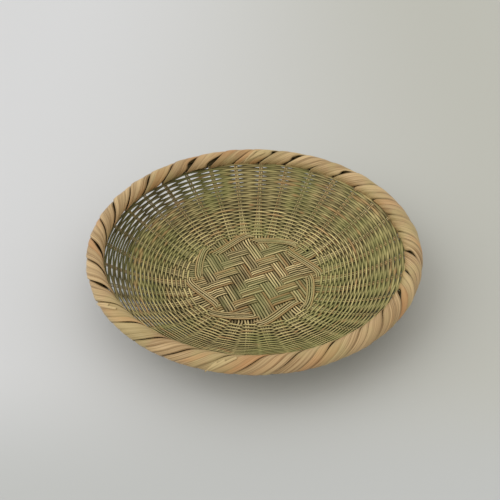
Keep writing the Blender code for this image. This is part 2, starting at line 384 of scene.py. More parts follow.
@dataclass(frozen=True)
class BambooFinish:
    """Satin split bamboo: a colour for each splint, fibre streaks, larger patches, and painted
    shade at the edges and where a splint dips under.
    """

    name: str
    slot: Slot
    pale: Colour
    deep: Colour
    moss: Colour
    blush: Colour
    # Colour of the painted shade, in recesses and on shaded parts
    shade: Colour = (0.05, 0.035, 0.008)
    moss_share: float = 0.5
    blush_from: float = 0.78
    patch_scale: float = 22.0
    patch_range: Span = (0.42, 0.62)
    streak_along: float = 38.0
    streak_across: float = 1500.0
    streak_depth: float = 0.4
    streak_range: Span = (0.3, 0.7)
    # Painted shade of the gaps between splints: where across the splint the edges darken, and how
    # much
    edge_shade_range: Span = (0.0003, 0.0011)
    edge_shade: float = 0.55
    # How far the depth mark's painted shade darkens a splint
    sunk_shade: float = 0.7
    blush_depth: float = 0.5
    detail: float = 3.0
    roughness: float = 0.5
    rough_range: float = 0.2
    gloss: float = 0.15
    relief: float = 0.00015
    bump: float = 0.6
    own_grain: bool = True

    @cache
    def material(self) -> bpy.types.Material:
        """Make the material, once.

        Fibre streaks are noise of the grain coordinates, long along the splint and fine
        across it. The tone of the splint and the streaks mix the deep and pale colours, and
        nearness to an edge darkens them, as painted shade of the gaps between splints. Noise
        patches in the object's coordinates bring in the moss colour, the splints with the highest
        hues are blushed, and where a splint dips under its neighbours, or is marked as shaded, it
        takes the painted shade colour.

        Returns:
            The finished material.
        """
        shader = Shader(self.name)
        place = shader.place()
        if self.own_grain:
            grain = shader.node("UVMap", {"uv_map": "grain"})
            mark = shader.node("Attribute", {"attribute_name": "splint"}, None, "Vector")
            tone, hue, depth = shader.parts(mark)
        else:
            grain = place
            tone, hue, depth = (shader.noise(place, self.patch_scale) for _ in range(3))
        along, across, _ = shader.parts(grain)
        sockets = {0: along * self.streak_along, 1: across * self.streak_across}
        fibre = shader.node("CombineXYZ", None, sockets)
        streak = shader.noise(fibre, 1.0, self.detail)
        patch = shader.noise(place, self.patch_scale, self.detail).held(*self.patch_range)
        light = tone * (1 - self.streak_depth) + streak.held(*self.streak_range) * self.streak_depth
        # Painted shade: each splint darkens towards its edges, standing in for the shaded gaps
        # between splints
        light = light * (1 - abs(across).held(*self.edge_shade_range) * self.edge_shade)
        # Painted shade: the depth mark darkens a splint, and blends it to the shade colour, where
        # it dips under or lies in shade
        light = light * (1 - depth * self.sunk_shade)
        colour = shader.blend(light, self.deep, self.pale)
        colour = shader.blend(patch * self.moss_share, colour, self.moss)
        colour = shader.blend(hue.held(self.blush_from, 1.0) * self.blush_depth, colour, self.blush)
        colour = shader.blend(depth * self.sunk_shade, colour, self.shade)
        sockets = {"Strength": self.bump, "Distance": self.relief, "Height": streak}
        shader.surface(
            Base_Color=colour,
            Roughness=streak * self.rough_range + (self.roughness - self.rough_range / 2),
            Specular_IOR_Level=self.gloss,
            Normal=shader.node("Bump", None, sockets),
        )
        return shader.material


def add_piece(name: str, skins: list[Skin], finish: BambooFinish, node: str) -> None:
    """Turn skins into a piece that stands in for a solid.

    Args:
        name: Name of the piece.
        skins: What it is made of.
        finish: Its finish.
        node: Solid that it replaces.
    """
    skin = Skin.joined(skins)
    mesh = bpy.data.meshes.new(name)
    mesh.vertices.add(len(skin.points))
    mesh.vertices.foreach_set("co", skin.points.ravel())
    mesh.loops.add(skin.faces.size)
    mesh.loops.foreach_set("vertex_index", skin.faces.ravel())
    mesh.polygons.add(len(skin.faces))
    mesh.polygons.foreach_set("loop_start", np.arange(0, skin.faces.size, 4))
    mesh.polygons.foreach_set("use_smooth", np.ones(len(skin.faces), bool))
    mesh.update(calc_edges=True)
    grain = mesh.uv_layers.new(name="grain")
    grain.data.foreach_set("uv", skin.grain[skin.faces.ravel()].ravel())
    marks = mesh.attributes.new("splint", "FLOAT_VECTOR", "POINT")
    marks.data.foreach_set("vector", skin.tone.ravel())
    mesh.materials.append(finish.material())
    piece = shown(name, mesh)
    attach(piece, "root")
    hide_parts(node)
    log.info("%s: %d faces in place of %s", name, len(skin.faces), node)


@dataclass(frozen=True)
class Bowl:
    """The bowl's middle surface, which every splint is laid over or under."""

    rim_radius: float = 0.1425
    rim_depth: float = 0.040
    floor_radius: float = 0.0585
    power: float = 1.6
    lift: float = 0.00203
    weft_start: float = 0.067307
    ribs: int = 32
    turn: float = math.radians(25)
    arc_steps: int = 400
    least: float = 1e-9

    def share(self, radius: Array) -> Array:
        """Share of the way from the floor's edge to the rim."""
        run = self.rim_radius - self.floor_radius
        return np.clip((radius - self.floor_radius) / run, 0, None)

    def height(self, radius: Array) -> Array:
        """Height over the table: the lift, and the depth times a power of that share."""
        return self.lift + self.rim_depth * self.share(radius) ** self.power

    def slope(self, radius: Array) -> Array:
        """Slope of the height along the radius."""
        steepest = self.rim_depth * self.power / (self.rim_radius - self.floor_radius)
        return steepest * self.share(radius) ** (self.power - 1)

    @property
    def bay(self) -> float:
        """Angle from one rib to the next."""
        return math.tau / self.ribs

    @property
    def tilt(self) -> float:
        """Lean of the wall at the rim."""
        return math.atan(float(self.slope(self.rim_radius)))

    @cached_property
    def arc(self) -> tuple[Array, Array]:
        """Make the table of lengths up the wall.

        Returns:
            Radii from floor to rim, and the length from the first weft to each.
        """
        radii = np.linspace(self.floor_radius, self.rim_radius, self.arc_steps)
        steps = np.hypot(np.diff(radii), np.diff(self.height(radii)))
        lengths = np.concatenate([[0], np.cumsum(steps)])
        return radii, lengths - np.interp(self.weft_start, radii, lengths)

    def laid(self, plan: Array, level: Array | float) -> tuple[Array, Array]:
        """Lay plan points on the bowl.

        Args:
            plan: Points seen from above, one row each.
            level: Distance inside (or, below zero, outside) the middle surface.

        Returns:
            The points, and the surface's normals there: minus the slope along the radius
            and one upwards, scaled to length one.
        """
        radius = np.hypot(plan[:, 0], plan[:, 1])
        outward = plan / np.maximum(radius, self.least)[:, None]
        slope = self.slope(radius)[:, None]
        normal = unit(np.concatenate([-slope * outward, np.ones((len(plan), 1))], axis=1))
        base = np.concatenate([plan, self.height(radius)[:, None]], axis=1)
        return base + normal * np.broadcast_to(level, len(plan))[:, None], normal


@dataclass(frozen=True)
class Bundles:
    """The sixteen bundles of splints: twilled through the floor, fanned out, and gathered
    in twos and twos into the ribs of the wall."""

    bowl: Bowl
    finish: BambooFinish
    each_way: int = 8
    twill: int = 4
    pitch: float = 0.0106
    band_width: float = 0.0092
    rib_start: float = 0.065232
    rib_end: float = 0.14298
    strands: int = 4
    splint: Splint = Splint(0.0024, 0.0009)
    fan_steps: int = 20
    rib_steps: int = 44
    twill_steps: int = 97
    level: float = 0.00085
    layer: float = 0.00022
    dive: float = 0.0036
    closing: Ramp = Ramp(0.0, 0.0009)
    narrowing: Ramp = Ramp(0.075, 0.02)
    foot: Ramp = Ramp(0.060, 0.006)
    wall: Ramp = Ramp(0.085, 0.02)
    high: Ramp = Ramp(0.109, 0.013)
    loose_side: Side = Side(math.radians(157), 2.4, 1.1)
    # Painted shade on the strands high up on the loosely beaten side
    loose_painted_shade: float = 0.6
    rib_width: float = 0.44
    # Painted shade on the strands from the foot of the ribs, fading out up the wall
    rib_painted_shade: float = 0.15
    rib_blush: float = 0.45
    rib_tone: float = 0.9
    rib_even: float = 0.8
    tone_ends: float = 0.7
    waver: float = 0.00016
    wavers: Span = (18, 30)
    uneven: float = 0.00008
    width_range: Span = (0.9, 1.04)
    twist: float = 0.12
    twists: float = 40
    seed: int = 11

    # Spacing of the strands of a bundle against the distance from the bowl's middle
    SPREAD_RADII = np.array([0.043, 0.056, 0.064, 0.072, 0.084, 0.100, 0.143])
    SPREAD = np.array([0.00255, 0.0029, 0.0026, 0.0019, 0.0015, 0.00115, 0.0010])

    @property
    def edge(self) -> float:
        """Distance of the twill's edge from the middle."""
        return self.offset(self.each_way) - self.band_width / 2

    def loose(self, radius: Array, angle: Array) -> Array:
        """How loosely the weave is beaten, which is high up on one side only."""
        return self.high.at(radius) * self.loose_side.at(angle)

    def offset(self, number: float) -> float:
        """How far a bundle lies beside the middle."""
        return beside(number, self.each_way) * self.pitch

    def rib_way(self, number: int) -> Array:
        """Heading of a bundle's rib, seen from the bundle's own direction."""
        return polar(1.0, beside(number, self.each_way) * self.bowl.bay)

    def fan(self, number: int, share: Array) -> tuple[Array, Array]:
        """Places and headings of a bundle's middle between the twill and its rib."""
        start, along = np.array([self.edge, self.offset(number)]), self.rib_way(number)
        return bend(start, np.array([1.0, 0.0]), self.rib_start * along, along, share)

    def spread(self, radius: Array) -> Array:
        """Spacing of the strands of a bundle."""
        return np.interp(radius, self.SPREAD_RADII, self.SPREAD)

    def end(self, number: int, strand: int, sign: int) -> tuple[Array, Array, Array]:
        """One strand of a bundle from the twill's edge to the rim.

        Args:
            number: Bundle, 0 to 7.
            strand: Strand, 0 to 3.
            sign: Layer the strand takes in the rib, 1 or -1.

        Returns:
            Plan points, levels and shares of the full width. The strand lies beside the
            bundle's middle by its place times the spread at that distance, and moves to
            its layer as the spread closes below the splint's width.
        """
        places, headings = self.fan(number, np.linspace(0, 1, self.fan_steps))
        along = self.rib_way(number)
        radii = np.linspace(self.rib_start, self.rib_end, self.rib_steps)[1:]
        places = np.concatenate([places, radii[:, None] * along])
        headings = np.concatenate([headings, np.repeat(along[None], len(radii), axis=0)])
        reach = np.hypot(places[:, 0], places[:, 1])
        spread = self.spread(reach)
        plan = places + left(headings) * (spread * beside(strand, self.strands))[:, None]
        level = sign * self.layer * self.closing.at(self.splint.width - spread)
        return plan, level, 1 - (1 - self.rib_width) * self.narrowing.at(reach)

    def strand(self, number: int, strand: int, over: Array, turn: float, rng: Draws) -> Skin:
        """A whole strand, from rib tip to rib tip through the twill.

        In the twill its level eases from over to under across the gap between two crossing
        bundles. It wavers and twists as sines of its run, and takes on the tone and blush of
        the ribs as it climbs the wall. Painted shade darkens it at the foot of the ribs, high
        on the loosely beaten side, and where it dives under a crossing bundle.

        Args:
            number: Bundle, 0 to 7.
            strand: Strand, 0 to 3.
            over: Whether it passes over each crossing bundle in turn.
            turn: Angle of the bundle's direction.
            rng: Source of the small differences.

        Returns:
            Its skin.
        """
        sign = 1 if strand % 2 else -1
        far = self.end(number, strand, sign)
        near = self.end(self.each_way - 1 - number, self.strands - 1 - strand, sign)
        x = np.linspace(-self.edge, self.edge, self.twill_steps)[1:-1]
        heights = np.concatenate([[0], np.where(over, self.level, -self.level), [0]])
        spot = x / self.pitch + (self.each_way - 1) / 2 + 1
        before = np.floor(spot).astype(int)
        swap = eased((spot - before - 0.5) * self.pitch / self.dive + 0.5)
        levels = heights[before] + (heights[before + 1] - heights[before]) * swap
        y = self.offset(number) + self.SPREAD[0] * beside(strand, self.strands)
        middle = np.stack([x, np.full_like(x, y)], axis=1)
        plan = np.concatenate([-near[0][::-1], middle, far[0]])
        level = np.concatenate([near[1][::-1], levels, far[1]])
        widths = np.concatenate([near[2][::-1], np.ones(len(x)), far[2]])
        run = np.linspace(0, 1, len(plan))
        plan[:, 1] += wave(run, rng.uniform(*self.wavers), rng) * self.waver
        plan = turned(plan, self.bowl.turn + turn)
        path, normal = self.bowl.laid(plan, level + rng.uniform(-self.uneven, self.uneven))
        tone = np.tile(rng.beta(self.tone_ends, self.tone_ends, 3), (len(plan), 1))
        reach = np.hypot(plan[:, 0], plan[:, 1])
        wall = self.wall.at(reach)
        loose = self.loose(reach, np.arctan2(plan[:, 1], plan[:, 0]))
        # Painted shade: at the foot of the ribs, and high on the loosely beaten side
        painted_shade = self.rib_painted_shade * self.foot.at(reach) * (1 - wall) + self.loose_painted_shade * loose
        tone[:, 0] += (self.rib_tone - tone[:, 0]) * wall * self.rib_even
        tone[:, 1] += self.rib_blush * wall
        width = widths * rng.uniform(*self.width_range)
        sway = self.twist * wave(run, self.twists, rng)
        roll = rng.normal(0, self.twist) + sway
        # Where the strand dives under a crossing bundle, its sunk level gives it painted shade
        return self.splint.skin(path, normal, tone, -level / self.level, width, roll, painted_shade)

    def build(self) -> None:
        """Make the bundles of both directions, over two and under two, one on each time."""
        rng = np.random.default_rng(self.seed)
        for letter, turn, step in (("a", 0.0, 1), ("b", math.pi / 2, -1)):
            for number in range(self.each_way):
                crossed = np.arange(self.each_way)
                over = (crossed - step * number) % self.twill < self.twill / 2
                order = range(self.strands)
                skins = [self.strand(number, strand, over, turn, rng) for strand in order]
                tail = f"{letter}_{number + 1}"
                add_piece(f"bundle_{tail}", skins, self.finish, f"band_{tail}")


@dataclass(frozen=True)
class Ties:
    """Two bundles of splints round the twill, in long floats that swing in and out."""

    bundles: Bundles
    finish: BambooFinish
    width: float = 0.0056
    swing: float = 0.0110
    clearance: float = 0.0003
    past_band: float = 0.00130
    past_crossing: float = 0.00164
    pull: float = 0.5
    search_steps: int = 100
    fan_closing: float = 0.003
    float_steps: int = 26
    dive_steps: int = 7
    strands: int = 4
    spacing: float = 0.0021
    stagger: float = 0.0024
    splint: Splint = Splint(0.0016, 0.0008)
    waver: float = 0.00022
    wavers: tuple[int, int] = (3, 7)
    twist: float = 0.05
    twists: float = 4
    tone_range: Span = (0.2, 1.0)
    seed: int = 23

    @property
    def inner_line(self) -> float:
        """Distance of the inner crossings beside the twill."""
        return self.bundles.edge + self.width / 2 + self.clearance

    @property
    def outer_radius(self) -> float:
        """Distance of the outer crossings from the middle."""
        gap = self.bundles.each_way / 4 * self.bundles.pitch
        return math.hypot(self.inner_line, gap) + self.swing

    def dive(self, numbers: tuple[int, int], inner: bool) -> tuple[list[Array], Array]:
        """Places beside two neighbouring bundles between which a tie dives.

        Args:
            numbers: The two bundles.
            inner: Whether it dives near the twill or further out.

        Returns:
            The two places and the heading between them. Each place is half the bundle's
            and half the tie's width past the bundle's middle, over the sine between them.
        """
        shares = np.linspace(0, 1, self.search_steps)
        spots = []
        for number in numbers:
            places = self.bundles.fan(number, shares)[0]
            reach = places[:, 0] if inner else np.hypot(places[:, 0], places[:, 1])
            limit = self.inner_line if inner else self.outer_radius
            share = np.array([np.interp(limit, reach, shares)])
            place, heading = self.bundles.fan(number, share)
            wide = self.bundles.band_width - self.fan_closing * float(share[0])
            spots.append((place[0], heading[0], wide))
        run = unit(spots[1][0] - spots[0][0])
        found = []
        for (place, heading, wide), side in zip(spots, (1, -1)):
            lean = abs(run[0] * heading[1] - run[1] * heading[0])
            cover = (wide / 2 + self.width / 2 * abs(float(run @ heading))) / lean
            found.append(place + side * run * cover)
        return found, run

    def ring(self, over_corners: bool) -> tuple[Array, Array, Array]:
        """Centre line of a tie.

        Args:
            over_corners: Whether its upper floats pass over the corners of the twill.

        Returns:
            Plan points, headings and levels all the way round.
        """
        sign = 1 if over_corners else -1
        corner, side = sign * self.past_crossing, -sign * self.past_band
        low = self.bundles.each_way // 4
        crossings = (
            (low, over_corners, (corner, side)),
            (self.bundles.each_way - low, not over_corners, (side, corner)),
        )
        stops = []
        for quarter in range(4):
            spin = quarter * math.pi / 2
            for after, inner, levels in crossings:
                places, run = self.dive((after - 1, after), inner)
                for place, level in zip(places, levels):
                    stops.append((turned(place, spin), turned(run, spin), level))
        legs = []
        for number, (place, heading, level) in enumerate(stops):
            end, arrive, after = stops[(number + 1) % len(stops)]
            count = self.float_steps if number % 2 else self.dive_steps
            share = np.linspace(0, 1, count, endpoint=False)
            spots, ways = bend(place, heading, end, arrive, share, self.pull)
            legs.append((spots, ways, level + (after - level) * eased(share)))
        return tuple(map(np.concatenate, zip(*legs)))

    def build(self) -> None:
        """Make both ties, each of strands side by side that dive one after another."""
        rng = np.random.default_rng(self.seed)
        for letter, over_corners in (("a", True), ("b", False)):
            plan, heading, level = self.ring(over_corners)
            aside = -left(heading)
            run = np.linspace(0, math.tau, len(plan), endpoint=False)
            steps = np.linalg.norm(np.roll(plan, -1, axis=0) - plan, axis=1)
            along = np.concatenate([[0], np.cumsum(steps)])
            ring, along = along[-1], along[:-1]
            skins = []
            for strand in range(self.strands):
                place = beside(strand, self.strands)
                waver = wave(run, rng.integers(*self.wavers), rng) * self.waver
                spot = plan + aside * (place * self.spacing + waver)[:, None]
                shifted = np.interp(along - place * self.stagger, along, level, period=ring)
                path, normal = self.bundles.bowl.laid(turned(spot, self.bundles.bowl.turn), shifted)
                roll = self.twist * (rng.normal(0, 1) + wave(run, self.twists, rng))
                # Painted shade where the strands dive under the bundles
                sunk = -shifted / self.past_band
                tone = rng.uniform(*self.tone_range, 3)
                skins.append(self.splint.skin(path, normal, tone, sunk, roll=roll, closed=True))
            add_piece(f"tie_bundle_{letter}", skins, self.finish, f"floor_tie_{letter}")


@dataclass(frozen=True)
class Wefts:
    """Fine splints woven in and out of the ribs, in two spirals that chase each other."""

    bowl: Bowl
    bundles: Bundles
    finish: BambooFinish
    turns: int = 20
    per_spiral: int = 10
    climb: int = 4
    bow: float = 0.00078
    samples: int = 12
    table_steps: int = 600
    splint: Splint = Splint(0.0024, 0.0008)
    front: Side = Side(math.radians(-90), 1.4, 0.2)
    back: Side = Side(math.radians(90), 1.4, 0.2)
    soft_swing: float = 0.8
    hard_swing: float = 2.6
    hard_from: float = 0.2
    loose_width: float = 0.67
    loose_more: float = 0.1
    loose_slip: float = 0.0009
    # Painted shade on the rows on the loosely beaten side
    loose_painted_shade: float = 0.88
    loose_back: float = 0.16
    loose_back_side: Side = Side(math.radians(88), 2.5, 1.2)
    slip_side: float = math.radians(125)
    slip_turns: float = 1.6
    pinch: float = 0.85
    pinch_power: int = 4
    calm_side: Side = Side(math.radians(20), 1.5, -0.1)
    calm_high: Ramp = Ramp(0.038, 0.012)
    calm_back: Side = Side(math.radians(88), 1.5, -0.1)
    calm_low: Ramp = Ramp(0.024, 0.012)
    calm_end: Ramp = Ramp(0.05, 0.01)
    calm_share: float = 0.55
    calm_bow: float = 0.3
    calm_tone: float = 0.33
    calm_even: float = 0.8
    tone_ends: float = 0.8
    base_tone: float = 0.7
    # Painted highlight on the rows where they pass inside a rib
    proud_highlight: float = 0.5
    # Painted shade on the rows beside each rib, in the smooth patches
    rib_painted_shade: float = 0.6
    rib_power: int = 16
    width_range: Span = (0.95, 1.03)
    sway: float = 0.04
    sways: float = 31
    knots: int = 71
    seed: int = 37

    # Length of two rows against the length up the wall, at the sides, the front and the
    # back, the width of a splint there as a share of a row, and the lengths up the wall at
    # which one splint ends and the next begins
    LENGTHS = np.array([-0.005, 0.009, 0.019, 0.029, 0.039, 0.049, 0.059, 0.0795])
    TWO_ROWS = np.array(
        [
            [0.0045, 0.0040, 0.0037, 0.0036, 0.0038, 0.0042, 0.0047, 0.0048],
            [0.0049, 0.0051, 0.0051, 0.0047, 0.0043, 0.0040, 0.0040, 0.0042],
            [0.0043, 0.0042, 0.0041, 0.0041, 0.0041, 0.0043, 0.0047, 0.0048],
        ]
    )
    FULLNESS = np.array([0.98, 0.98, 1.0, 1.08, 1.17, 1.28, 1.36, 1.4])
    ENDS = np.array([-0.005, *(np.arange(1, 10) * 0.00769), 0.0795])

    @cached_property
    def ladders(self) -> tuple[Array, Array]:
        """Make the tables of rows, as sums of the lengths over the length of two rows.

        Returns:
            Turns wound, up to the whole number of turns, and the length up the wall after
            each at the sides, the front and the back.
        """
        lengths = np.linspace(self.LENGTHS[0], self.LENGTHS[-1], self.table_steps)
        even = np.linspace(0, self.turns, self.table_steps)
        found = []
        for two_rows in self.TWO_ROWS:
            rate = 1 / np.interp(lengths, self.LENGTHS, two_rows)
            turns = np.concatenate([[0], np.cumsum((rate[1:] + rate[:-1]) / 2)])
            found.append(np.interp(even, turns * self.turns / turns[-1], lengths))
        return even, np.array(found)

    def wound(self, turns: Array, angle: Array) -> tuple[Array, ...]:
        """Length up the wall after some turns, and the length of two rows there.

        Args:
            turns: Turns wound.
            angle: Angle round the basket.

        Returns:
            Both lengths, blended from the sides, the front and the back.
        """
        even, lengths = self.ladders
        front, back = self.front.at(angle), self.back.at(angle)
        both = []
        for table in (lengths, np.gradient(lengths, even, axis=1)):
            sides, near, far = (np.interp(turns, even, row) for row in table)
            both.append(sides + front * (near - sides) + back * (far - sides))
        return tuple(both)

    def path(self, lead: int, steps: Array) -> tuple[Array, ...]:
        """Path of a spiral.

        The length up the wall grows by two rows each turn, eased over the last bays of
        the turn. The level swings from outside to inside from rib to rib, as a cosine
        that a tanh squares off the more, the wider the ribs are for their spacing. High on
        the side that is loosely beaten a row also moves up where it passes inside a rib
        and down where it passes outside, as a cosine, so that wedges of daylight open.
        This slip fades away round the side, as a cosine too.

        Args:
            lead: 0 or 1, which of the two spirals.
            steps: Ribs passed since the spiral's start, with fractions.

        Returns:
            Points, normals, shares of the full width, how far the skin is sunk, painted shade
            and calm.
        """
        place = steps + lead
        turn = np.floor(place / self.bowl.ribs)
        bay = place - turn * self.bowl.ribs
        rise = eased((bay - (self.bowl.ribs - self.climb)) / self.climb)
        angle = (place + 0.5) * self.bowl.bay + self.bowl.turn
        length, two_rows = self.wound(turn + rise + lead / 2, angle)
        full = np.interp(length, self.LENGTHS, self.FULLNESS)
        radii, lengths = self.bowl.arc
        radius = np.interp(length, lengths, radii)
        side = self.bundles.loose(radius, angle)
        back = self.loose_back * self.loose_back_side.at(angle) * self.bundles.high.at(radius)
        loose = np.maximum(side, back)
        turn_slip = np.cos(self.slip_turns * (angle % math.tau - self.slip_side))
        length = length - self.loose_slip * loose * turn_slip * np.cos(math.pi * steps)
        radius = np.interp(length, lengths, radii)
        spread = (self.bundles.strands - 1) * self.bundles.spread(radius)
        filled = (spread + self.bundles.splint.width) / (radius * self.bowl.bay)
        hardness = self.soft_swing + self.hard_swing * np.clip(filled - self.hard_from, 0, None)
        swing = -np.tanh(hardness * np.cos(math.pi * steps)) / np.tanh(hardness)
        calm = self.calm(length, angle)
        level = self.bow * (1 - self.calm_bow * calm) * swing
        points, normal = self.bowl.laid(polar(radius, angle), level)
        proud = self.pinch * (full - self.FULLNESS[0]) * swing**self.pinch_power
        width = full * (1 - proud * (1 - side)) * two_rows / self.TWO_ROWS[0, -1]
        bare = 1 - self.loose_width + self.loose_more * (1 - np.abs(turn_slip))
        # Painted shade: rows dim on the loosely beaten side, and beside each rib in the smooth
        # patches
        painted_shade = np.maximum(self.loose_painted_shade * loose, self.rib_painted_shade * calm * swing**self.rib_power)
        return points, normal, width * (1 - bare * loose), -swing * (1 - calm), painted_shade, calm

    def calm(self, length: Array, angle: Array) -> Array:
        """Where the weave looks smooth: high on one side, and half way up the back.

        Args:
            length: Length up the wall.
            angle: Angle round the basket.

        Returns:
            The larger of both patches, each of which is a product of ramps.
        """
        high = self.calm_side.at(angle) * self.calm_high.at(length)
        back = self.calm_back.at(angle) * (self.calm_low.at(length) - self.calm_end.at(length))
        return self.calm_share * np.maximum(high, back)

    def build(self) -> None:
        """Make the splints of both spirals."""
        rng = np.random.default_rng(self.seed)
        even, lengths = self.ladders
        ends = np.rint(np.interp(self.ENDS, lengths[0], even) * self.bowl.ribs).astype(int)
        knots = np.linspace(0, 1, self.knots)
        for letter, lead in (("a", 0), ("b", 1)):
            for number in range(self.per_spiral):
                begin, end = ends[number], ends[number + 1]
                if number == self.per_spiral - 1:
                    end -= lead
                count = (end - begin) * self.samples + 1
                steps = np.linspace(begin, end, count)
                path, normal, width, sunk, painted_shade, calm = self.path(lead, steps)
                run = np.linspace(0, 1, count)
                even_width = rng.uniform(*self.width_range)
                width = width * (even_width + self.sway * wave(run, self.sways, rng))
                tone = np.interp(run, knots, rng.beta(self.tone_ends, self.tone_ends, self.knots))
                hue = np.interp(run, knots, rng.random(self.knots))
                # Painted highlight: rows lighter where they pass inside a rib
                tone = self.base_tone * tone + self.proud_highlight * np.clip(-sunk, 0, 1)
                tone = tone + (self.calm_tone - tone) * calm * self.calm_even
                tones = np.stack([tone, hue, np.full(count, rng.random())], axis=1)
                skin = self.splint.skin(path, normal, tones, sunk, width, painted_shade=painted_shade)
                tail = f"{letter}_{number + 1}"
                add_piece(f"splint_{tail}", [skin], self.finish, f"weft_{tail}")


@dataclass(frozen=True)
class Rim:
    """The rolled rim: wide strips wound over the hoops and the filler, a turn to each bay."""

    bowl: Bowl
    finish: BambooFinish
    # Dark finish of the hoops and the filler: painted shade inside the roll
    shaded_inner_finish: BambooFinish
    radius: float = 0.0074
    thickness: float = 0.0006
    strips: int = 4
    bays_each: int = 8
    bay_knots: int = 2
    lanes: int = 3
    around: int = 30
    across: int = 7
    top_share: float = 0.985
    wall_share: float = 0.92
    pinch: float = 10.0
    lean: float = 2.1
    lean_even: float = 0.25
    end_share: float = 0.06
    crown: float = 0.0004
    swell: float = 0.0003
    lap: float = 0.00035
    lane_lap: float = 0.00028
    lane_over: float = 0.1
    lane_sway: float = 0.2
    edge_sway: float = 0.05
    slit: float = 0.5
    slit_range: Span = (-0.5, 1.3)
    slit_shift: Span = (-1.3, 0.3)
    slit_rate: float = 1.5
    # Painted shade along the tucked edge of each lane: its strength, its reach across, and its
    # share for the lanes after the first
    tuck_shade_range: Span = (0.4, 1.0)
    tuck_shade_edge: Ramp = Ramp(0.4, 0.6)
    lane_tuck_shade: float = 0.4
    lane_tone: float = 0.85
    inner: Side = Side(math.radians(90), 1.5, -0.2)
    front: Side = Side(math.radians(-90), 2.0, 0.6)
    front_tone: float = 0.4
    front_lap: float = 0.5
    front_slit: float = 0.75
    tail_splint: Splint = Splint(0.0022, 0.0004)
    tail_level: float = 0.0008
    tail_lift: float = 0.0014
    tail_narrowing: float = 0.7
    seed: int = 51

    # Tone, hue and grain of the tails, and of each the bays to its start, the winding angles
    # of its start and end, and the bays it moves on by
    TAIL_TONE = np.array([0.9, 0.0, 0.5])
    TAILS = (
        (21.3, 0.9, -0.7, -0.7),
        (21.0, 0.5, -0.8, -0.5),
        (20.8, 0.2, -0.9, -0.3),
        (17.2, 0.8, -0.4, -0.6),
        (16.9, 0.5, -0.5, -0.4),
        (5.7, 1.0, 2.6, 0.5),
        (5.4, 1.3, 2.4, 0.7),
    )

    def rolled(self, reach: Array, wind: Array, angle: Array) -> Array:
        """Points by distance from the roll's axis, winding angle and angle round the basket."""
        far, up = (reach * part(wind + self.bowl.tilt) for part in (np.cos, np.sin))
        return polar(self.bowl.rim_radius + far, angle, self.bowl.rim_depth + self.bowl.lift + up)

    def drift(self, turns: Array, rng: Draws, low: float, high: float) -> Array:
        """A value that wanders between two limits, from one random knot to the next."""
        knots = np.linspace(0, self.bays_each, self.bays_each * self.bay_knots + 1)
        return np.interp(turns, knots, rng.uniform(low, high, len(knots)))

    def strip(self, first: int, rng: Draws) -> list[Skin]:
        """One strip, wound through its bays in lanes that lap over each other.

        At each winding angle the strip's middle moves on round the rim by its share of a
        bay, with a lean that is a sine of the angle less a share of the sine of twice the
        angle, which keeps its slant even over the top. Its width is nearly a whole bay and
        pinches where it passes through the wall, by a power of half of one less the
        cosine. Once a bay its edge draws back from the turn before it and leaves a slit,
        which is a squared cosine long. Across its width a lane is crowned by a square and
        laps up on one edge, both of which are added to the roll's radius, and takes painted
        shade where its other edge is tucked under.

        Args:
            first: First bay.
            rng: Source of the small differences.

        Returns:
            The skin of each lane, outer face and inner face.
        """
        margin = self.end_share * math.tau
        end = math.pi + self.bays_each * math.tau - margin
        wind = np.linspace(math.pi + margin, end, self.bays_each * self.around)
        over = wind - (math.pi / 2 - self.bowl.tilt)
        lean = np.sin(over) - self.lean_even * np.sin(2 * over)
        lean = self.lean * (lean - lean[0])
        turns = (wind - math.pi) / math.tau
        middle = self.bowl.bay * (first + turns + lean / math.tau) + self.bowl.turn
        cuts = np.linspace(-1, 1, self.lanes + 1)
        cuts = [cut + self.drift(turns, rng, -self.lane_sway, self.lane_sway) for cut in cuts]
        bay = np.floor(turns).astype(int)
        lens = rng.uniform(*self.slit_shift, self.bays_each)[bay] + over - math.tau * (bay + 1)
        lens = np.cos(np.clip(self.slit_rate * lens, -math.pi / 2, math.pi / 2))
        front = self.front.at(middle)
        # Painted shade for tucked edges: strongest on the inner side and away from the front
        tuck_shade = np.maximum(self.inner.at(over), 1 - front) * self.drift(turns, rng, *self.tuck_shade_range)
        slits = np.clip(rng.uniform(*self.slit_range, self.bays_each), 0, None)[bay]
        slits = slits * np.clip(lens, 0, None) ** 2 * (1 - self.front_slit * front)
        shared = self.drift(turns, rng, 0, 1)
        pinched = ((1 - np.cos(wind)) / 2) ** self.pinch
        share = self.top_share - (self.top_share - self.wall_share) * pinched
        v = np.linspace(-1, 1, self.across)
        lanes = []
        for lane in range(self.lanes):
            edges = [self.drift(turns, rng, -self.edge_sway, self.edge_sway) for _ in range(2)]
            low, high = cuts[lane] - self.lane_over, cuts[lane + 1] + self.lane_over
            if lane == 0:
                low = edges[0] - 1 + self.slit * slits
            if lane == self.lanes - 1:
                high = edges[1] + 1
            low, high = low[:, None], high[:, None]
            spot = (low + high) / 2 + (high - low) / 2 * v
            angle = middle[:, None] + self.bowl.bay * share[:, None] / 2 * spot
            laps = (self.lap * spot + self.lane_lap * v) * (1 - self.front_lap * front[:, None])
            roll = self.radius + self.drift(turns, rng, -self.swell, self.swell)[:, None]
            roll = roll + self.crown * (1 - v**2) + laps
            sides = [self.rolled(roll - by, wind[:, None], angle) for by in (0.0, self.thickness)]
            along = (wind - wind[0])[:, None] * self.radius + first + lane
            wide = self.bowl.rim_radius * self.bowl.bay / 2 * (high - low) / 2 * v
            grain = np.stack(np.broadcast_arrays(along, wide), axis=-1)
            tone, hue = (self.drift(turns, rng, 0, 1) for _ in range(2))
            tone = (shared + (tone - shared) * self.lane_tone) * (1 - self.front_tone * front)
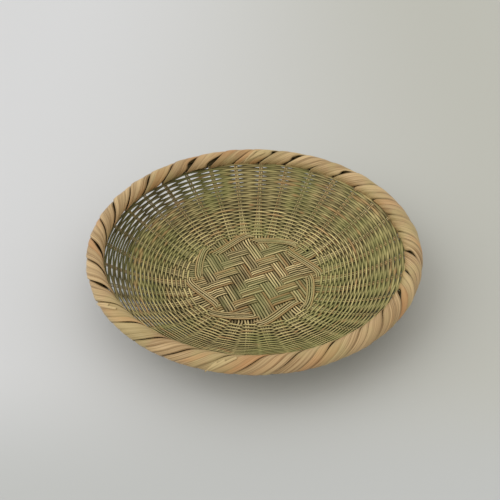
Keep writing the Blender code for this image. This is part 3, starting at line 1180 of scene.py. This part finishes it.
            # Painted shade along the lane's tucked edge
            depth = tuck_shade[:, None] * self.tuck_shade_edge.at(-v) * (self.lane_tuck_shade if lane else 1)
            tones = np.stack(np.broadcast_arrays(tone[:, None], hue[:, None], depth), axis=-1)
            pairs = (sides, (grain, grain), (tones, tones))
            around = [np.concatenate([out, back[:, ::-1]], axis=1) for out, back in pairs]
            lanes.append(Skin.tube(*around))
        return lanes

    def tail(self, bay: float, start: float, end: float, run: float) -> Skin:
        """A frayed tail of a strip that lies on the roll and lifts off it at its end.

        Args:
            bay: Bays from the first to where it starts.
            start: Winding angle where it starts.
            end: Winding angle where it ends.
            run: Bays it moves on by.

        Returns:
            The tail's skin. It lifts by a cube of its run and narrows by a square.
        """
        share = np.linspace(0, 1, self.around)
        wind = start + (end - start) * share
        roll = self.radius + self.tail_level + self.tail_lift * share**3
        angle = self.bowl.bay * (bay + run * share) + self.bowl.turn
        low, high = (self.rolled(roll + rise, wind, angle) for rise in (0.0, self.thickness))
        widths = 1 - self.tail_narrowing * share**2
        return self.tail_splint.skin(low, unit(high - low), self.TAIL_TONE, 0 * share, widths)

    def build(self) -> None:
        """Make the strips, and dress the hoops and the filler inside them in a dark finish that is
        painted shade.
        """
        rng = np.random.default_rng(self.seed)
        for number in range(self.strips):
            skins = self.strip(number * self.bays_each, rng)
            tails = (tail for tail in self.TAILS if tail[0] // self.bays_each == number)
            skins += [self.tail(*tail) for tail in tails]
            add_piece(f"binding_{number + 1}", skins, self.finish, f"rim_wrap_{number + 1}")
        # The hoops and the filler are coloured dark as painted shade inside the roll
        for node in ("rim_hoop_inner", "rim_hoop_outer", "rim_filler"):
            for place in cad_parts[node].material_slots:
                place.material = self.shaded_inner_finish.material()
            log.info("%s: dressed", node)


@dataclass(frozen=True)
class Studio:
    """Pale floor with painted falloff, shadow and light, soft light from the upper left and the
    camera of the photograph.
    """

    rim_height: float = 0.04203
    distance: float = 0.7125
    elevation: float = math.radians(40.3)
    yaw: float = math.radians(-0.3)
    pitch: float = math.radians(-0.35)
    lens: float = 56.66
    sensor: float = 36.0
    floor_half: float = 4.0
    # Floor colours: lighter on the left and darker to the right as a painted falloff of the light,
    # and one colour in front
    floor_left: Colour = (0.655, 0.66, 0.675)
    floor_right: Colour = (0.49, 0.49, 0.445)
    floor_near: Colour = (0.515, 0.525, 0.52)
    floor_rough: float = 0.85
    floor_gloss: float = 0.2
    gradient: Span = (-0.32, 0.32)
    near_range: Span = (-0.24, -0.10)
    # Painted shadow: a dark circle on the floor under the bowl
    painted_shadow_shift: float = 0.015
    painted_shadow_back: float = 0.022
    painted_shadow_range: Span = (0.011, 0.018)
    painted_shade: float = 0.95
    floor_painted_shadow: Colour = (0.045, 0.036, 0.012)
    # Painted light: a paler patch on the floor under the back left of the rim, seen through the
    # wall
    floor_painted_light: Colour = (0.77, 0.765, 0.735)
    painted_light_back: float = 0.03
    painted_light_range: Span = (0.0170, 0.0220)
    painted_light_left: Span = (-0.06, 0.06)
    painted_light_away: Span = (-0.04, 0.0)
    sky: Colour = (1.0, 0.985, 0.95)
    sky_strength: float = 0.86
    sun_colour: Colour = (0.95, 0.985, 1.0)
    sun: float = 0.95
    sun_spread: float = 1.0
    sun_from: tuple[float, float, float] = (-1.0, -0.25, 0.8)

    def camera(self) -> None:
        """Place the camera: it looks at the rim's middle, then turns by the small angles."""
        e = self.elevation
        at = (0, -self.distance * math.cos(e), self.distance * math.sin(e) + self.rim_height)
        matrix = Matrix.Translation(at)
        for angle, axis in ((math.pi / 2 - e, "X"), (-self.yaw, "Y"), (self.pitch, "X")):
            matrix = matrix @ Matrix.Rotation(angle, 4, axis)
        lens = bpy.data.cameras.new("camera")
        lens.lens, lens.sensor_width = self.lens, self.sensor
        eye = shown("camera", lens)
        eye.matrix_world = matrix
        bpy.context.scene.camera = eye

    def floor(self) -> None:
        """Lay the floor: a painted falloff of the light from left to right, one colour in front,
        a painted shadow in a circle under the bowl, and a painted pool of light under the back left
        of the rim, where daylight shows through the wall."""
        half = self.floor_half
        mesh = bpy.data.meshes.new("floor")
        corners = [(-half, -half, 0), (half, -half, 0), (half, half, 0), (-half, half, 0)]
        mesh.from_pydata(corners, [], [(0, 1, 2, 3)])
        shader = Shader("pale_floor")
        across, away, _ = shader.parts(shader.place())
        # Painted falloff of the light across the floor, and one colour in front
        colour = shader.blend(across.held(*self.gradient), self.floor_left, self.floor_right)
        colour = shader.blend(1 - away.held(*self.near_range), colour, self.floor_near)
        # Painted shadow: a dark circle under the bowl
        aside, behind = across - self.painted_shadow_shift, away - self.painted_shadow_back
        under = 1 - (aside * aside + behind * behind).held(*self.painted_shadow_range)
        colour = shader.blend(under * self.painted_shade, colour, self.floor_painted_shadow)
        # Painted light: a paler patch under the back left of the rim, outside the painted shadow
        behind = away - self.painted_light_back
        painted_light = 1 - (across * across + behind * behind).held(*self.painted_light_range)
        painted_light = painted_light * (1 - across.held(*self.painted_light_left)) * away.held(*self.painted_light_away) * (1 - under)
        colour = shader.blend(painted_light, colour, self.floor_painted_light)
        gloss = self.floor_gloss
        shader.surface(Base_Color=colour, Roughness=self.floor_rough, Specular_IOR_Level=gloss)
        mesh.materials.append(shader.material)
        shown("floor", mesh)

    def light(self) -> None:
        """Light the set with an even sky and one broad lamp."""
        world = bpy.data.worlds.new("sky")
        world.use_nodes = True
        sky = world.node_tree.nodes["Background"]
        sky.inputs["Color"].default_value = (*self.sky, 1.0)
        sky.inputs["Strength"].default_value = self.sky_strength
        bpy.context.scene.world = world
        lamp = bpy.data.lights.new("broad_lamp", "SUN")
        lamp.energy, lamp.angle, lamp.color = self.sun, self.sun_spread, self.sun_colour
        holder = shown("broad_lamp", lamp)
        holder.rotation_euler = Vector(self.sun_from).to_track_quat("Z", "Y").to_euler()

    def build(self) -> None:
        """Set up the camera, the floor and the light."""
        self.camera()
        self.floor()
        self.light()
        bpy.context.scene.view_settings.view_transform = "Standard"
        log.info("studio: camera, floor and light")


# Pale, deep, moss and blush colours come first in each finish
STRAW = BambooFinish(
    "twill_splints", Slot.FLOOR, (0.98, 0.77, 0.38), (0.045, 0.03, 0.008), (0.30, 0.32, 0.12),
    (0.40, 0.22, 0.08), moss_share=0.4, edge_shade=1.0,
)
KHAKI = BambooFinish(
    "weft_splints", Slot.WEFT, (0.86, 0.70, 0.31), (0.035, 0.025, 0.005), (0.22, 0.24, 0.07),
    (0.45, 0.22, 0.09), shade=(0.035, 0.029, 0.004), moss_share=0.45, edge_shade=0.9,
)
TAN = BambooFinish(
    "tie_splints", Slot.TIE, (0.90, 0.72, 0.37), (0.06, 0.04, 0.01), (0.28, 0.30, 0.10),
    (0.42, 0.23, 0.08), moss_share=0.4, edge_shade_range=(0.0003, 0.0006), edge_shade=0.8,
)
PEEL = BambooFinish(
    "rim_strips", Slot.RIM, (0.68, 0.485, 0.255), (0.18, 0.095, 0.03), (0.44, 0.37, 0.16),
    (0.52, 0.26, 0.10), blush_from=0.6, blush_depth=0.65, moss_share=0.45, patch_scale=30.0,
    streak_along=14.0, streak_across=800.0, streak_depth=0.5, streak_range=(0.32, 0.6),
    edge_shade_range=(0.0030, 0.0052), edge_shade=0.5, roughness=0.45, gloss=0.25,
)
# Hoops and filler: far darker than the bamboo, painted shade for the inside of the roll
SHADED_LATH = BambooFinish(
    "rim_laths_painted_shade", Slot.HOOP, (0.16, 0.11, 0.045), (0.07, 0.045, 0.015), (0.10, 0.085, 0.03),
    (0.12, 0.07, 0.03), edge_shade_range=(0.0007, 0.0011), own_grain=False,
)


def main() -> None:
    """Build the set and then the basket, from the floor to the rim."""
    logging.basicConfig(level=logging.INFO, format="%(message)s")
    bowl = Bowl()
    bundles = Bundles(bowl, STRAW)
    wall = (Wefts(bowl, bundles, KHAKI), Rim(bowl, PEEL, SHADED_LATH))
    for part in (Studio(), bundles, Ties(bundles, TAN), *wall):
        part.build()


if __name__ == "__main__":
    main()
